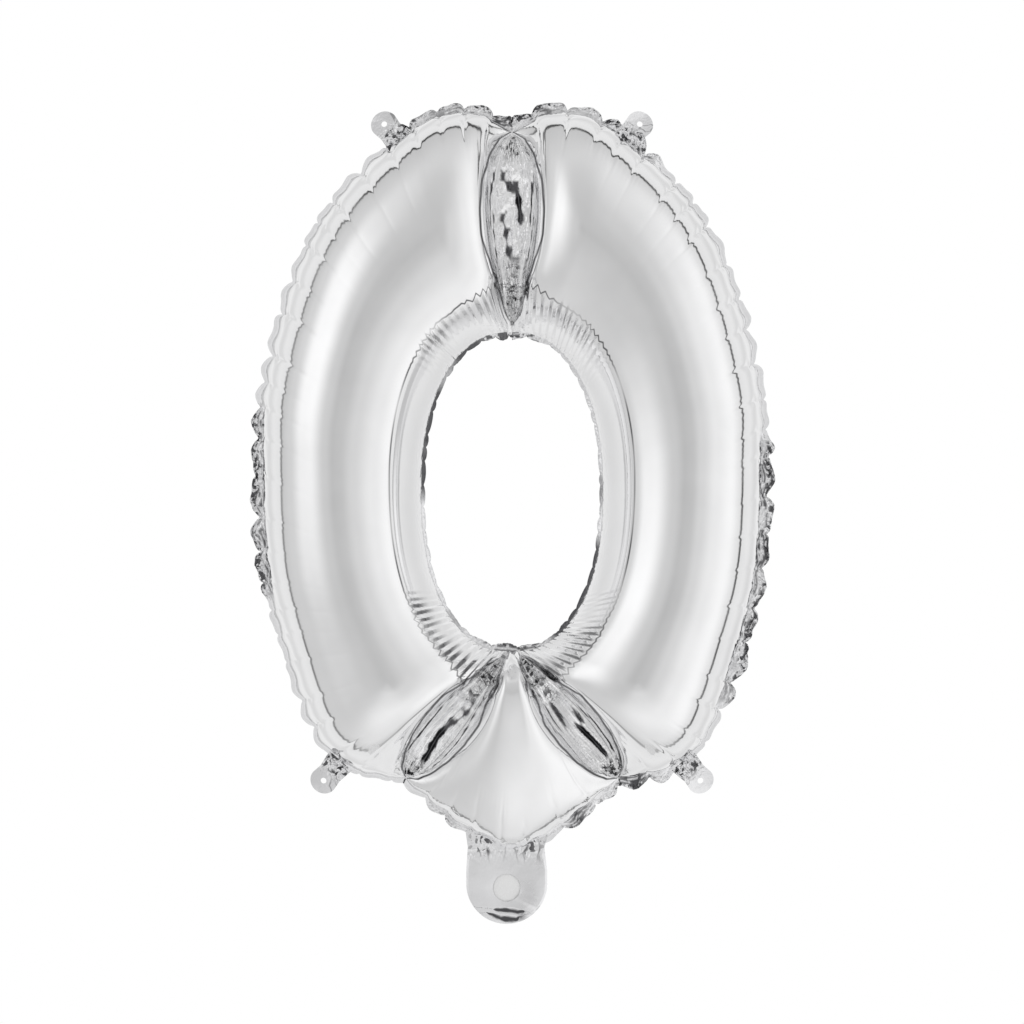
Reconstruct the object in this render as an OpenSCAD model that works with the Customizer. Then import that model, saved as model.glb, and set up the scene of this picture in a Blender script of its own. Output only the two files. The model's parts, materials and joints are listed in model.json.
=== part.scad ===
// Inflated foil balloon in the shape of the digit zero.
// X runs across the digit, Z is up and -Y is the front. The origin is the centre of the whole
// balloon's box, on the plane where the front and rear films are welded together.

/* [Digit] */
// Height of the whole balloon, from the top of its margin to the end of its tail, mm
total_h = 387; // [384:1:400]
// Height of the digit between its welded edges, without the tail, mm
digit_h = 346; // [335:1:348]
// Full depth of the inflated tube, mm
tube_depth = 69; // [50:1:76]
// Modelled thickness of one film, mm
film = 0.4; // [0.3:0.05:0.6]
// Width of the welded margin round the outside, mm
margin_w = 6; // [4:0.5:7]
// Width of the welded margin round the hole, mm
hole_margin_w = 2.5; // [1.5:0.5:4]

/* [Darts] */
// Greatest half width of the large weld island in each dart, mm
dart_half_w = 7; // [3:0.5:9]
// Greatest half width of the small weld island in each dart, mm
small_dart_half_w = 3; // [1.5:0.5:4]
// Distance over which the tube rises to its full depth beside a dart, mm
dart_rise = 26; // [18:1:34]
// Share of the full depth left open between the two islands of a dart
passage = 0.35; // [0.2:0.05:0.6]

/* [Tail] */
// Width of the tail, mm
tail_w = 38; // [34:1:44]
// Distance of the tail's centre line from the digit's, mm
tail_x = -2.5; // [-3:0.5:3]
// Diameter of the inlet hole in the tail's front film, mm
inlet_d = 13; // [8:0.5:16]

/* [Valve] */
// Width of the valve films, mm
valve_w = 24; // [20:1:25]
// Length of the valve flaps inside the balloon, mm
valve_l = 48; // [30:1:55]
// Thickness of one valve film, mm
valve_film = 0.3; // [0.2:0.05:0.3]

/* [Hanging tabs] */
// Width of a hanging tab, mm
tab_w = 14; // [12:1:20]
// Length of a hanging tab from its fold line to its tip, mm
tab_l = 14; // [12:1:18]
// Diameter of the thread hole in a tab, mm
tab_hole_d = 3; // [2:0.5:5]

/* [Hidden] */

k = digit_h / 346;                      // the digit's outline grows with its height
digit_z = total_h / 2 - margin_w - digit_h / 2;  // height of the digit's middle
bite = film;                            // how far a weld reaches into the films that it joins
foil_colour = [0.80, 0.80, 0.82];
seal_colour = [0.72, 0.72, 0.75];
valve_colour = [0.88, 0.92, 0.96];

// Weld line round the right half of the digit, from the notch on top to the neck below,
// measured from the digit's middle
outline = [
    [0, 164.5], [7, 169.5], [19, 173], [35, 169.5], [51.5, 158], [79.5, 130.5], [98.5, 96.5],
    [113, 48], [116.5, 15], [114, -41], [101.5, -85], [90, -116.5], [80, -131], [68, -136.5],
    [50, -139.5], [28, -158], [16, -166], [8, -171], [0, -173]
];
top_tab_at = 4;                         // the points of the outline where the tabs stand
low_tab_at = 12;
dart_at = 14;                           // and the point where the lower dart starts
weld_pts = [for (p = outline) [k * p[0], k * p[1] + digit_z]];
weld_bottom = digit_z - digit_h / 2;
hole_a = 42.5 * k;                      // half width and half height of the weld round the hole
hole_b = 75 * k;
hole_z = digit_z - 5 * k;               // height of the hole's centre
hole_n = 2.3;                           // its superellipse exponent
hole_dart_x = 4 * k;                    // where the lower dart meets the hole

rows = 16;                              // rows of the film's mesh across the tube
side_cols = 22;                         // columns from the top dart to a lower dart
low_cols = 10;                          // columns between the two lower darts
depth = tube_depth / 2 - film;          // from the weld plane to the inside of the front film
low_depth = 0.72;                       // the bottom chamber's share of the full depth
big_rows = [1, 10];                     // rows where the large weld island starts and ends
small_rows = [12, 15];                  // and the small one
neck_half_w = valve_w / 2 + 1;          // half width of the opening that the valve films fill
neck_gap = 2 * valve_film;              // from the weld plane to the foil at the neck

fold_z = weld_bottom - 2;               // fold line of the tail
fold_gap = 1;                           // clear space on each side of a fold line

// ---- curves ----

// Length of each straight step of a point list, summed up to point i
function run(p, i) = i == 0 ? 0 : run(p, i - 1) + norm(p[i] - p[i - 1]);
// The step of point list p that holds distance s, with s running from 0 to the whole length
function step_at(p, s, i = 0) =
    i >= len(p) - 2 || s <= norm(p[i + 1] - p[i])
        ? [i, s / norm(p[i + 1] - p[i])]
        : step_at(p, s - norm(p[i + 1] - p[i]), i + 1);
// Catmull-Rom curve through point list p, between points i and i + 1
function rom(p, i, t) =
    let (
        b = p[i], c = p[i + 1],
        a = i > 0 ? p[i - 1] : 2 * b - c,
        d = i + 2 < len(p) ? p[i + 2] : 2 * c - b
    )
    (2 * b + (c - a) * t + (2 * a - 5 * b + 4 * c - d) * t * t
        + (3 * b - a - 3 * c + d) * t * t * t) / 2;
// Point at share u of the way along p
function along(p, u) = let (s = step_at(p, u * run(p, len(p) - 1))) rom(p, s[0], s[1]);

function mirror_x(p) = [-p[0], p[1]];
function signed_pow(v, e) = sign(v) * pow(abs(v), e);
function unit(v) = v / norm(v);
function side_of(v) = [-v[1], v[0]];    // v turned a quarter turn
// Point of the hole's superellipse, grown by g all round
function hole_pt(angle, g = 0) = [
    (hole_a + g) * signed_pow(cos(angle), 2 / hole_n),
    hole_z + (hole_b + g) * signed_pow(sin(angle), 2 / hole_n)
];
hole_dart_angle = acos(pow(hole_dart_x / hole_a, hole_n / 2));

// Weld line of the right side, and of the bottom from the left dart to the right one
side_pts = [for (i = [0 : dart_at]) weld_pts[i]];
low_pts = [
    for (i = [dart_at : len(weld_pts) - 1]) mirror_x(weld_pts[i]),
    for (i = [len(weld_pts) - 2 : -1 : dart_at]) weld_pts[i]
];

// ---- the inflated films ----

// Columns of the film lie close together at both ends of a section, where it meets a dart
function spread(i, n) = (1 - cos(180 * i / n)) / 2;
// The hole end of a side column leans towards the darts, so that the columns cross the tube squarely
function lean(u) = u - 0.08 * sin(360 * u);

// Ends of column i, [outside, hole side], and its distance along the tube from the nearer dart
function side_rung(i) =
    let (u = spread(i, side_cols), angle = 90 - (90 + hole_dart_angle) * lean(u))
    [along(side_pts, u), hole_pt(angle), min(u, 1 - u) * run(side_pts, dart_at) * 0.75];
function low_rung(i) =
    let (u = spread(i, low_cols), angle = -90 - (90 - hole_dart_angle) * (1 - 2 * u))
    [along(low_pts, u), hole_pt(angle), min(u, 1 - u) * run(low_pts, len(low_pts) - 1) * 0.8];

function row_share(j) = (1 - cos(180 * j / rows)) / 2;
function inside(j, r) = j > r[0] && j < r[1];
function on_island(j) = (j >= big_rows[0] && j <= big_rows[1])
    || (j >= small_rows[0] && j <= small_rows[1]);
// Half width of the weld islands at row j
function island_w(j) =
    inside(j, big_rows)
        ? dart_half_w * sin(180 * (j - big_rows[0]) / (big_rows[1] - big_rows[0]))
        : inside(j, small_rows)
            ? small_dart_half_w * sin(180 * (j - small_rows[0]) / (small_rows[1] - small_rows[0]))
            : 0;
// Share of the full depth at distance d from a dart: welded on the islands, open between them
function rise(d, j) =
    let (x = min(1, d / dart_rise), closed = pow(1 - pow(1 - x, 2.4), 1 / 2.4))
    on_island(j) ? closed : passage + (1 - passage) * closed;
// How far the foil stands off the weld plane at the neck, where the valve films pass between.
// It is already clear of the plane a little outside the neck.
neck_ease = 9;
function neck_open(p) =
    abs(p[0] - tail_x) < neck_half_w + neck_ease && p[1] < weld_bottom + neck_ease ? neck_gap : 0;

// Film point of a column at row j. inset 0 gives the outer face and inset film the inner one.
// turn is 1 where the tube lies anticlockwise of the dart and -1 where it lies clockwise.
function film_pt(rung, j, inset, full, turn) =
    let (
        e = unit(rung[0] - rung[1]),
        half = norm(rung[0] - rung[1]) / 2 - inset,
        mid = (rung[0] + rung[1]) / 2,
        w = island_w(j),
        push = (w > 0 ? w + inset : 0) * max(0, 1 - rung[2] / 40),
        p = mid + half * cos(180 * j / rows) * e + turn * push * side_of(e),
        y = full * sin(180 * j / rows) * rise(rung[2], j) + film - inset + neck_open(p)
    )
    [p[0], -y, p[1]];

// Columns of the whole ring, clockwise from the top dart. A dart's two columns are both listed.
function flip(p) = [-p[0], p[1], p[2]];
function ring_col(c, inset) =
    c <= side_cols
        ? let (r = side_rung(c), turn = c <= side_cols / 2 ? -1 : 1)
            [for (j = [0 : rows]) film_pt(r, j, inset, depth, turn)]
    : c <= side_cols + 1 + low_cols
        ? let (i = low_cols - (c - side_cols - 1), r = low_rung(i),
               turn = i > low_cols / 2 ? -1 : 1)
            [for (j = [0 : rows]) film_pt(r, j, inset, depth * low_depth, turn)]
        : [for (p = ring_col(2 * side_cols + low_cols + 2 - c, inset)) flip(p)];

cols = 2 * side_cols + low_cols + 3;
starts = [0, side_cols + 1, side_cols + low_cols + 2];  // first column of each section
ends = [side_cols, side_cols + low_cols + 1, cols - 1]; // last column of each section
function is_start(c) = c == starts[0] || c == starts[1] || c == starts[2];
// Vertex number on face f (0 outside, 1 inside). Two sections share the points between islands.
function v_id(f, c, j) =
    is_start(c) && island_w(j) == 0
        ? v_id(f, c == 0 ? cols - 1 : c - 1, j)
        : (f * cols + c) * (rows + 1) + j;
function quad(a, b, c, d) = [[a, b, c], [a, c, d]];
function strip(c, j0, j1) = [
    for (j = [j0 : j1 - 1])
        each quad(v_id(0, c, j), v_id(1, c, j), v_id(1, c, j + 1), v_id(0, c, j + 1))
];
function turned(faces) = [for (f = faces) [f[2], f[1], f[0]]];

module inflated_film() {
    points = [for (inset = [0, film]) for (c = [0 : cols - 1]) each ring_col(c, inset)];
    faces = [
        for (s = [0 : 2]) for (c = [starts[s] : ends[s] - 1]) each [
            for (j = [0 : rows - 1]) each concat(
                quad(v_id(0, c, j), v_id(0, c, j + 1), v_id(0, c + 1, j + 1), v_id(0, c + 1, j)),
                quad(v_id(1, c, j), v_id(1, c + 1, j), v_id(1, c + 1, j + 1), v_id(1, c, j + 1))
            ),
            each quad(v_id(0, c, 0), v_id(0, c + 1, 0), v_id(1, c + 1, 0), v_id(1, c, 0)),
            each quad(v_id(0, c, rows), v_id(1, c, rows),
                      v_id(1, c + 1, rows), v_id(0, c + 1, rows))
        ],
        for (r = [big_rows, small_rows]) for (s = [0 : 2]) each concat(
            strip(starts[s], r[0], r[1]), turned(strip(ends[s], r[0], r[1]))
        )
    ];
    polyhedron(points, faces, convexity = 6);
}

module front_foil() {
    color(foil_colour) inflated_film();
}

module rear_foil() {
    color(foil_colour) mirror([0, 1, 0]) inflated_film();
}

// ---- welds ----

// A flat plate in the weld plane, from its outline in X and Z
module plate(points, thick = 2 * film, paths = undef) {
    rotate([90, 0, 0])
        translate([0, 0, -thick / 2])
            linear_extrude(thick) polygon(points, paths);
}

// Weld line round the whole digit, moved outwards by g
weld_steps = 60;
function weld_pt(p, i, g) =
    let (u = i / weld_steps, a = along(p, max(0, u - 0.004)), b = along(p, min(1, u + 0.004)))
    along(p, u) - g * side_of(unit(a - b));
function half_weld(g) = [
    for (i = [0 : weld_steps]) weld_pt(weld_pts, i, g)
];
function whole_weld(g) = let (h = half_weld(g)) [
    for (p = h) [max(0, p[0]), p[1]],
    for (i = [weld_steps - 1 : -1 : 1]) [-max(0, h[i][0]), h[i][1]]
];

module outer_seal() {
    outside = whole_weld(margin_w);
    within = whole_weld(-bite);
    n = len(outside);
    color(seal_colour) difference() {
        plate(concat(outside, within), paths = [[for (i = [0 : n - 1]) i],
                                                [for (i = [n : 2 * n - 1]) i]]);
        // opening for the neck, and the fold line of the tail
        translate([tail_x - neck_half_w, -margin_w, weld_bottom - margin_w])
            cube([2 * neck_half_w, 2 * margin_w, 2 * margin_w + 2]);
        translate([-tail_w, -margin_w, fold_z + fold_gap - digit_h])
            cube([2 * tail_w, 2 * margin_w, digit_h]);
    }
}

module hole_seal() {
    n = 72;
    color(seal_colour) plate(
        [for (g = [bite, -hole_margin_w]) for (i = [0 : n - 1]) hole_pt(360 * i / n, g)],
        paths = [[for (i = [0 : n - 1]) i], [for (i = [n : 2 * n - 1]) i]]
    );
}

// The two weld islands of the dart that lies along a column
module dart_seal(rung) {
    e = unit(rung[0] - rung[1]);
    mid = (rung[0] + rung[1]) / 2;
    half = norm(rung[0] - rung[1]) / 2;
    for (r = [big_rows, small_rows])
        plate([
            for (j = [r[0] : r[1]])
                mid + half * cos(180 * j / rows) * e - (island_w(j) + bite) * side_of(e),
            for (j = [r[1] : -1 : r[0]])
                mid + half * cos(180 * j / rows) * e + (island_w(j) + bite) * side_of(e)
        ]);
}

module top_dart_seal() {
    color(seal_colour) dart_seal(side_rung(0));
}

module right_dart_seal() {
    color(seal_colour) dart_seal(side_rung(side_cols));
}

module left_dart_seal() {
    color(seal_colour) mirror([1, 0, 0]) dart_seal(side_rung(side_cols));
}

// ---- tail and valve ----

tail_top = fold_z - fold_gap;
tail_l = tail_top + total_h / 2;        // the tail reaches down to the balloon's lowest point
tail_y = neck_gap + film;               // outer face of the tail's films
inlet_z = tail_top - 15;                // height of the inlet hole's centre

// Outline of the tail: straight sides and a round end, drawn in by g
module tail_shape(g = 0) {
    r = tail_w / 2;
    translate([tail_x, tail_top - tail_l + r])
        intersection() {
            union() {
                circle(r - g, $fn = 96);
                translate([-r + g, 0]) square([2 * (r - g), tail_l - r - g]);
            }
            translate([-r, -r]) square([2 * r, tail_l]);
        }
}

module upright(y_back, thick) {
    translate([0, y_back, 0]) rotate([90, 0, 0]) linear_extrude(thick) children();
}

// A tail film with its rim turned in to the weld plane
module tail_film() {
    rim = 2.5;
    upright(-neck_gap, film) tail_shape();
    upright(0, neck_gap) difference() {
        tail_shape();
        tail_shape(rim);
        translate([tail_x - neck_half_w, tail_top - rim - 1]) square([2 * neck_half_w, rim + 2]);
    }
}

module tail_front_film() {
    color(foil_colour) difference() {
        tail_film();
        translate([tail_x, 0, inlet_z]) rotate([90, 0, 0])
            cylinder(d = inlet_d, h = 4 * tail_y, $fn = 96);
    }
}

module tail_rear_film() {
    color(foil_colour) mirror([0, 1, 0]) tail_film();
}

valve_y = 0.05;                         // half the gap between the two valve films

// A valve film from height z upwards
module valve_sheet(z, length) {
    upright(-valve_y, valve_film)
        translate([tail_x - valve_w / 2, z]) square([valve_w, length]);
}

// The front film stops above the inlet hole, so that an inflation straw slides in behind it
module valve_front_sleeve() {
    length = tail_top - inlet_z - inlet_d / 2 - 0.5;
    color(valve_colour) valve_sheet(tail_top - length, length);
}

module valve_rear_sleeve() {
    length = tail_top - inlet_z + inlet_d / 2 + 1;
    color(valve_colour) mirror([0, 1, 0]) valve_sheet(tail_top - length, length);
}

module valve_flap() {
    valve_sheet(weld_bottom + fold_gap, valve_l);
}

module valve_front_flap() {
    color(valve_colour) valve_flap();
}

module valve_rear_flap() {
    color(valve_colour) mirror([0, 1, 0]) valve_flap();
}

// ---- hanging tabs ----

// A tab that stands on the margin at point i of the outline
module tab(i) {
    u = run(weld_pts, i) / run(weld_pts, len(weld_pts) - 1);
    a = along(weld_pts, u - 0.004);
    b = along(weld_pts, u + 0.004);
    out = -side_of(unit(a - b));
    root = along(weld_pts, u) + (margin_w + fold_gap) * out;
    r = tab_w / 2;
    base = fold_gap / 2;
    translate([root[0], 0, root[1]])
        rotate([0, atan2(out[0], out[1]), 0])
            difference() {
                upright(film, 2 * film) union() {
                    translate([0, tab_l - r]) circle(r, $fn = 64);
                    translate([-r, base]) square([tab_w, tab_l - r - base]);
                }
                translate([0, 0, tab_l - r]) rotate([90, 0, 0])
                    cylinder(d = tab_hole_d, h = 8 * film, center = true, $fn = 48);
            }
}

module top_right_tab() {
    color(seal_colour) tab(top_tab_at);
}

module top_left_tab() {
    color(seal_colour) mirror([1, 0, 0]) tab(top_tab_at);
}

module bottom_right_tab() {
    color(seal_colour) tab(low_tab_at);
}

module bottom_left_tab() {
    color(seal_colour) mirror([1, 0, 0]) tab(low_tab_at);
}

front_foil();
rear_foil();
outer_seal();
hole_seal();
top_dart_seal();
left_dart_seal();
right_dart_seal();
tail_front_film();
tail_rear_film();
valve_front_sleeve();
valve_rear_sleeve();
valve_front_flap();
valve_rear_flap();
top_left_tab();
top_right_tab();
bottom_left_tab();
bottom_right_tab();
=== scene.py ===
"""Foil number balloon: the inflated film, its crinkled welds, tail and tabs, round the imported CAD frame."""
import json
import math

import bmesh
import bpy
import numpy as np
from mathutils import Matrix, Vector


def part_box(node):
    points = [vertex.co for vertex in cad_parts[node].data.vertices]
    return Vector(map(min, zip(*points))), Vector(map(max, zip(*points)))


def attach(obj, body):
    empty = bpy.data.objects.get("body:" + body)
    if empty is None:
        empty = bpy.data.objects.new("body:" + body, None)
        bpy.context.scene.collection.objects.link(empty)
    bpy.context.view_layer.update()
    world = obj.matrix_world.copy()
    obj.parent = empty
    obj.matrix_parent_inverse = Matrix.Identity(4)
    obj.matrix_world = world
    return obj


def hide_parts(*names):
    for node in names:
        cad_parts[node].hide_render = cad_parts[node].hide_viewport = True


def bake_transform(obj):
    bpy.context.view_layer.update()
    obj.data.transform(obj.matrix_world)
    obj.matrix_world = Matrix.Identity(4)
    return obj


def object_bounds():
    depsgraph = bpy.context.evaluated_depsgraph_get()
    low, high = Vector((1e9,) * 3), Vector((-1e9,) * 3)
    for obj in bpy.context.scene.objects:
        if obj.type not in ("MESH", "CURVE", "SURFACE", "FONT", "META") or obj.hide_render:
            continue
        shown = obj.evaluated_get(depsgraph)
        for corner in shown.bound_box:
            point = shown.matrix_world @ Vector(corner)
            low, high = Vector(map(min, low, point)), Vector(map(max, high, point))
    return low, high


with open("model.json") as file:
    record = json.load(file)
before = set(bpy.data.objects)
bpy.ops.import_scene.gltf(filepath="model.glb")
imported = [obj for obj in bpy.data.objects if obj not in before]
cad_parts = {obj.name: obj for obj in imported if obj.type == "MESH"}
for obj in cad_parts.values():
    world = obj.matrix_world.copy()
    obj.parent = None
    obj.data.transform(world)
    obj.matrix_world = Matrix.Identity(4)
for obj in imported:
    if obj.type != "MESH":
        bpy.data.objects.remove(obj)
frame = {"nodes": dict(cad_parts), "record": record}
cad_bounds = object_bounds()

MM = 0.001
rng = np.random.default_rng(7)


# ---- camera: straight on, at the height of the balloon's middle ----

def make_camera():
    low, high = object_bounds()
    width_seen = 0.481  # width of the view at the balloon
    distance = 2.6
    data = bpy.data.cameras.new("camera")
    data.sensor_width = 36.0
    data.lens = data.sensor_width * distance / width_seen
    cam = bpy.data.objects.new("camera", data)
    bpy.context.collection.objects.link(cam)
    mid = [(a + b) / 2 for a, b in zip(low, high)]
    cam.location = (mid[0], mid[1] - distance, mid[2])
    cam.rotation_euler = (math.pi / 2, 0, 0)
    bpy.context.scene.camera = cam


make_camera()


# ---- the digit's plan, in millimetres, from the frame ----

foil_low, foil_high = (np.array(v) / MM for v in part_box("front_foil"))
hole_low, hole_high = (np.array(v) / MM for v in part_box("hole_seal"))
tail_low, tail_high = (np.array(v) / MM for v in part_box("tail_front_film"))
seal_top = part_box("outer_seal")[1][2] / MM
INSET = 0.4  # how far the film stays inside the CAD's outer faces
DEPTH = -foil_low[1] - INSET  # from the weld plane to the crown of the film
MARGIN = seal_top - foil_high[2]  # width of the welded margin round the rim
HOLE_MARGIN = 2.5  # width of the one round the hole
DIGIT_Z = (foil_low[2] + foil_high[2]) / 2
TAIL_X = (tail_low[0] + tail_high[0]) / 2
DRAWN_HEIGHT = 346  # height of the digit that OUTLINE was drawn for
K = (foil_high[2] - foil_low[2]) / DRAWN_HEIGHT

# Weld line of the right half, from the notch on top to the neck
OUTLINE = K * np.array([
    [0, 164.5], [7, 169.5], [19, 173.5], [36, 171.5], [53.5, 160.5], [82, 132.5], [101.3, 97.5],
    [115, 48.5], [117.5, 15], [115, -41], [103.5, -86], [91.5, -118], [80, -131], [68, -136.5],
    [50, -139.5], [28, -158], [16, -166], [8, -171], [0, -173]]) + [0, DIGIT_Z]
DART_AT = 14  # the point where the lower dart starts
HOLE_A = hole_high[0] - INSET  # half width and half height of the weld round the hole
HOLE_B = (hole_high[2] - hole_low[2]) / 2 - INSET
HOLE_Z = (hole_low[2] + hole_high[2]) / 2
HOLE_N = 2.3  # power of the superellipse that it follows
HOLE_DART_X = 2.2 * K  # where the lower darts reach it, from the centre line


def curve(points, steps=40):
    """Catmull-Rom curve through points."""
    p = np.vstack([2 * points[0] - points[1], points, 2 * points[-1] - points[-2]])
    t = np.linspace(0, 1, steps, endpoint=False)[:, None]
    parts = []
    for i in range(len(points) - 1):
        a, b, c, d = p[i:i + 4]
        parts.append((2 * b + (c - a) * t + (2 * a - 5 * b + 4 * c - d) * t ** 2
                      + (3 * b - a - 3 * c + d) * t ** 3) / 2)
    return np.vstack(parts + [points[-1:]])


def lengths(path):
    """Distance of every point of path from its start, along it."""
    return np.concatenate([[0], np.cumsum(np.linalg.norm(np.diff(path, axis=0), axis=1))])


def along(path, share):
    """Points at shares of the way along path."""
    s = lengths(path)
    return np.stack([np.interp(share * s[-1], s, path[:, i]) for i in range(path.shape[1])], 1)


def signed_power(v, e):
    return np.sign(v) * np.abs(v) ** e


def clamp(v):
    return np.clip(v, 0, 1)


def bell(v, centre, width):
    """1 at the centre, falling off over the width to both sides."""
    return np.exp(-((v - centre) / width) ** 2)


def hole_point(angle):
    """Point of the weld round the hole."""
    return np.stack([HOLE_A * signed_power(np.cos(angle), 2 / HOLE_N),
                     HOLE_Z + HOLE_B * signed_power(np.sin(angle), 2 / HOLE_N)], -1)


# ---- the film as a grid: columns round the ring, rows from the rim to the hole ----

SIDE, LOW = 280, 84  # steps between the darts, at the sides and below
ROWS = 38
SIDE_LEAN = 0.085  # how far the columns crowd towards the hole's upper and lower ends
OUTER_SHARE = 0.62  # how near the rim a section's length is measured
DART = (0.012, 0.955)  # share of a column where the dart starts and ends
PASSAGE_AT = (0.67, 0.79)  # share where the film lifts off the weld and gas can pass
PASSAGE = 0.13  # height of the film there
# Half width of a dart at shares of the column
DART_SHAPE = ((0.012, 0), (0.05, 2.6), (0.12, 4.7), (0.22, 5.9), (0.36, 6.4), (0.50, 6.1), (0.62, 5.0),
              (0.72, 3.6), (0.80, 3.1), (0.88, 2.3), (0.93, 1.2), (0.955, 0))
WIDER_TOP = (1.22, 0.95)  # factors on it for the top dart and for the lower ones
PUSH_REACH = 30.0  # distance from a dart over which it pushes the film aside
# Slope of the film in degrees, at shares of the way along it from the rim to the hole
FILM_SLOPE = ((0, 90), (0.5, 0), (0.68, -25), (0.745, -42), (0.79, -57), (1, -69))
RISE = 46.0  # distance over which the tube fills beside a dart
LOW_RISE = 30.0  # the same in the chamber between the lower darts
RISE_POWER = 2.0  # how squarely it does so
LOW_DEPTH = 0.82  # height of the chamber against the tube's
LOW_CROWN = 0.80  # share of the column where the chamber is highest
BULGE_ROOM = 1.0  # depth that is left for the film to bulge into when it is relaxed

hole_dart_angle = math.acos((HOLE_DART_X / HOLE_A) ** (HOLE_N / 2))
side_path = curve(OUTLINE[:DART_AT + 1])
flip = np.array([-1.0, 1.0])
low_path = curve(np.vstack([OUTLINE[DART_AT:] * flip, OUTLINE[-2:DART_AT - 1:-1]]))


def section(outer_path, angle0, angle1, steps, lean, reverse):
    """Outer and inner ends of one section's columns, and their distances from its two darts."""
    u = np.linspace(0, 1, steps + 1)
    if reverse:
        u = u[::-1]
    angles = angle0 + (angle1 - angle0) * (u - lean * np.sin(2 * np.pi * u))
    arc = hole_point(np.linspace(angle0, angle1, 721))
    s = lengths(arc)
    by_angle = hole_point(angles)
    by_length = along(arc, u - 0.5 * lean * np.sin(2 * np.pi * u))
    inner = 0.5 * by_angle + 0.5 * by_length
    outer = along(outer_path, u)
    total = lengths(outer_path)[-1] * OUTER_SHARE + s[-1] * (1 - OUTER_SHARE)
    return outer, inner, u * total, (1 - u) * total


def tube_profile():
    """Share of the way from the rim to the hole, and height, at each row.

    The film leaves the rim as an arc and comes down to the hole as a steep, nearly straight wall.
    """
    t = np.linspace(0, 1, 2001)
    slope = np.radians(np.interp(t, *zip(*FILM_SLOPE)))
    across = np.concatenate([[0], np.cumsum(np.cos((slope[1:] + slope[:-1]) / 2))])
    height = np.concatenate([[0], np.cumsum(np.sin((slope[1:] + slope[:-1]) / 2))])
    height -= height[-1] * clamp((t - 0.5) / 0.5)  # so that it ends in the weld plane
    row_t = np.linspace(0, 1, ROWS + 1)
    at = row_t - 0.5 * np.sin(2 * np.pi * row_t) / (2 * np.pi)
    return np.interp(at, t, across / across[-1]), np.interp(at, t, height / height.max())


def chamber_profile(f):
    """Height of the film between the lower darts: highest near the hole, sloping down to the tail."""
    to_tail = 1 - clamp(1 - f / LOW_CROWN) ** 1.6
    to_hole = 1 - clamp((f - LOW_CROWN) / (1 - LOW_CROWN)) ** 2.2
    return np.where(f < LOW_CROWN, to_tail, to_hole) ** 0.6


row_f, row_h = tube_profile()
low_h = chamber_profile(row_f)
island_w = np.interp(row_f, *zip(*DART_SHAPE))
welded = (row_f > DART[0]) & (row_f < DART[1])
gap = clamp((row_f - PASSAGE_AT[0]) / (PASSAGE_AT[1] - PASSAGE_AT[0]))
passage = PASSAGE * np.sin(np.pi * gap) ** 2


def target(sec, full, profile, rise, widths=(1.0, 1.0)):
    """Smooth inflated shape of one section's front film."""
    outer, inner, d0, d1 = sec
    e = outer - inner
    unit = e / np.linalg.norm(e, axis=1)[:, None]
    side = np.stack([-unit[:, 1], unit[:, 0]], 1)
    d = np.minimum(d0, d1)
    turn = np.where(d0 <= d1, -widths[0], widths[1])
    x = clamp(d / rise)
    closed = (1 - (1 - x) ** RISE_POWER) ** (1 / RISE_POWER)
    height = passage[None] + (1 - passage[None]) * closed[:, None]
    push = island_w[None] * clamp(1 - d / PUSH_REACH)[:, None] ** 1.5 * turn[:, None]
    xz = outer[:, None] - row_f[None, :, None] * e[:, None] + push[..., None] * side[:, None]
    y = -full * profile[None] * height
    return np.stack([xz[..., 0], y, xz[..., 1]], -1)


right = section(side_path, math.pi / 2, -hole_dart_angle, SIDE, SIDE_LEAN, False)
low = section(low_path, -math.pi + hole_dart_angle, -hole_dart_angle, LOW, 0.0, True)
flat_depth = DEPTH - BULGE_ROOM
front_right = target(right, flat_depth, row_h, RISE, widths=WIDER_TOP)
front_low = target((low[0], low[1], low[3], low[2]), flat_depth * LOW_DEPTH, low_h, LOW_RISE)
front_left = front_right[::-1] * [-1, 1, 1]
shape = np.concatenate([front_right, front_low, front_left])
# The columns of each section, and the two columns that meet at each dart
SECTIONS = ((0, SIDE + 1), (SIDE + 1, SIDE + LOW + 2), (SIDE + LOW + 2, len(shape)))
cuts = ((SIDE, SIDE + 1), (SIDE + LOW + 1, SIDE + LOW + 2), (len(shape) - 1, 0))


# ---- inflating: the film has more length along its welds than the inflated shape has room for ----

SPARE_AT_RIM, RIM_REACH = 0.055, 8.0  # share of spare length along the rim, and how far in it reaches
SPARE_AT_DART, DART_REACH = 0.10, 6.0  # the same for the length across the tube, beside a dart
PRESSURE = 0.0006  # movement per step for an area of 1 mm2
DAMPING = 0.93  # share of the last movement that carries on
MAX_MOVE = 0.4  # longest movement in one step
BEND_ALONG, BEND_ACROSS = 0.06, 0.05  # stiffness against bending along the ring and across it
RIM_DRIFT, HOLE_DRIFT = 0.9, 0.5  # how much of its distance from the weld plane a weld keeps
HOLD_MEAN = 0.10  # pull back to the smooth shape, on the mean of 11 columns
HOLD_CROWN = 0.08  # the same on every point, away from the welds
SEED_LENGTH = 1120.0  # length of the rim that the starting pinches are laid out on
STEPS = 420


def pinches(n, path_length, step_range):
    """Places along a weld where the film pinches, as a height for every column."""
    at, places = rng.uniform(2, 8), []
    while at < path_length:
        places.append(at)
        at += rng.uniform(*step_range)
    s = np.linspace(0, path_length, n)
    profile = np.zeros(n)
    for p in places:
        profile = np.maximum(profile, rng.uniform(0.6, 1.0) * np.exp(-np.abs(s - p) / 1.3))
    return profile


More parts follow.
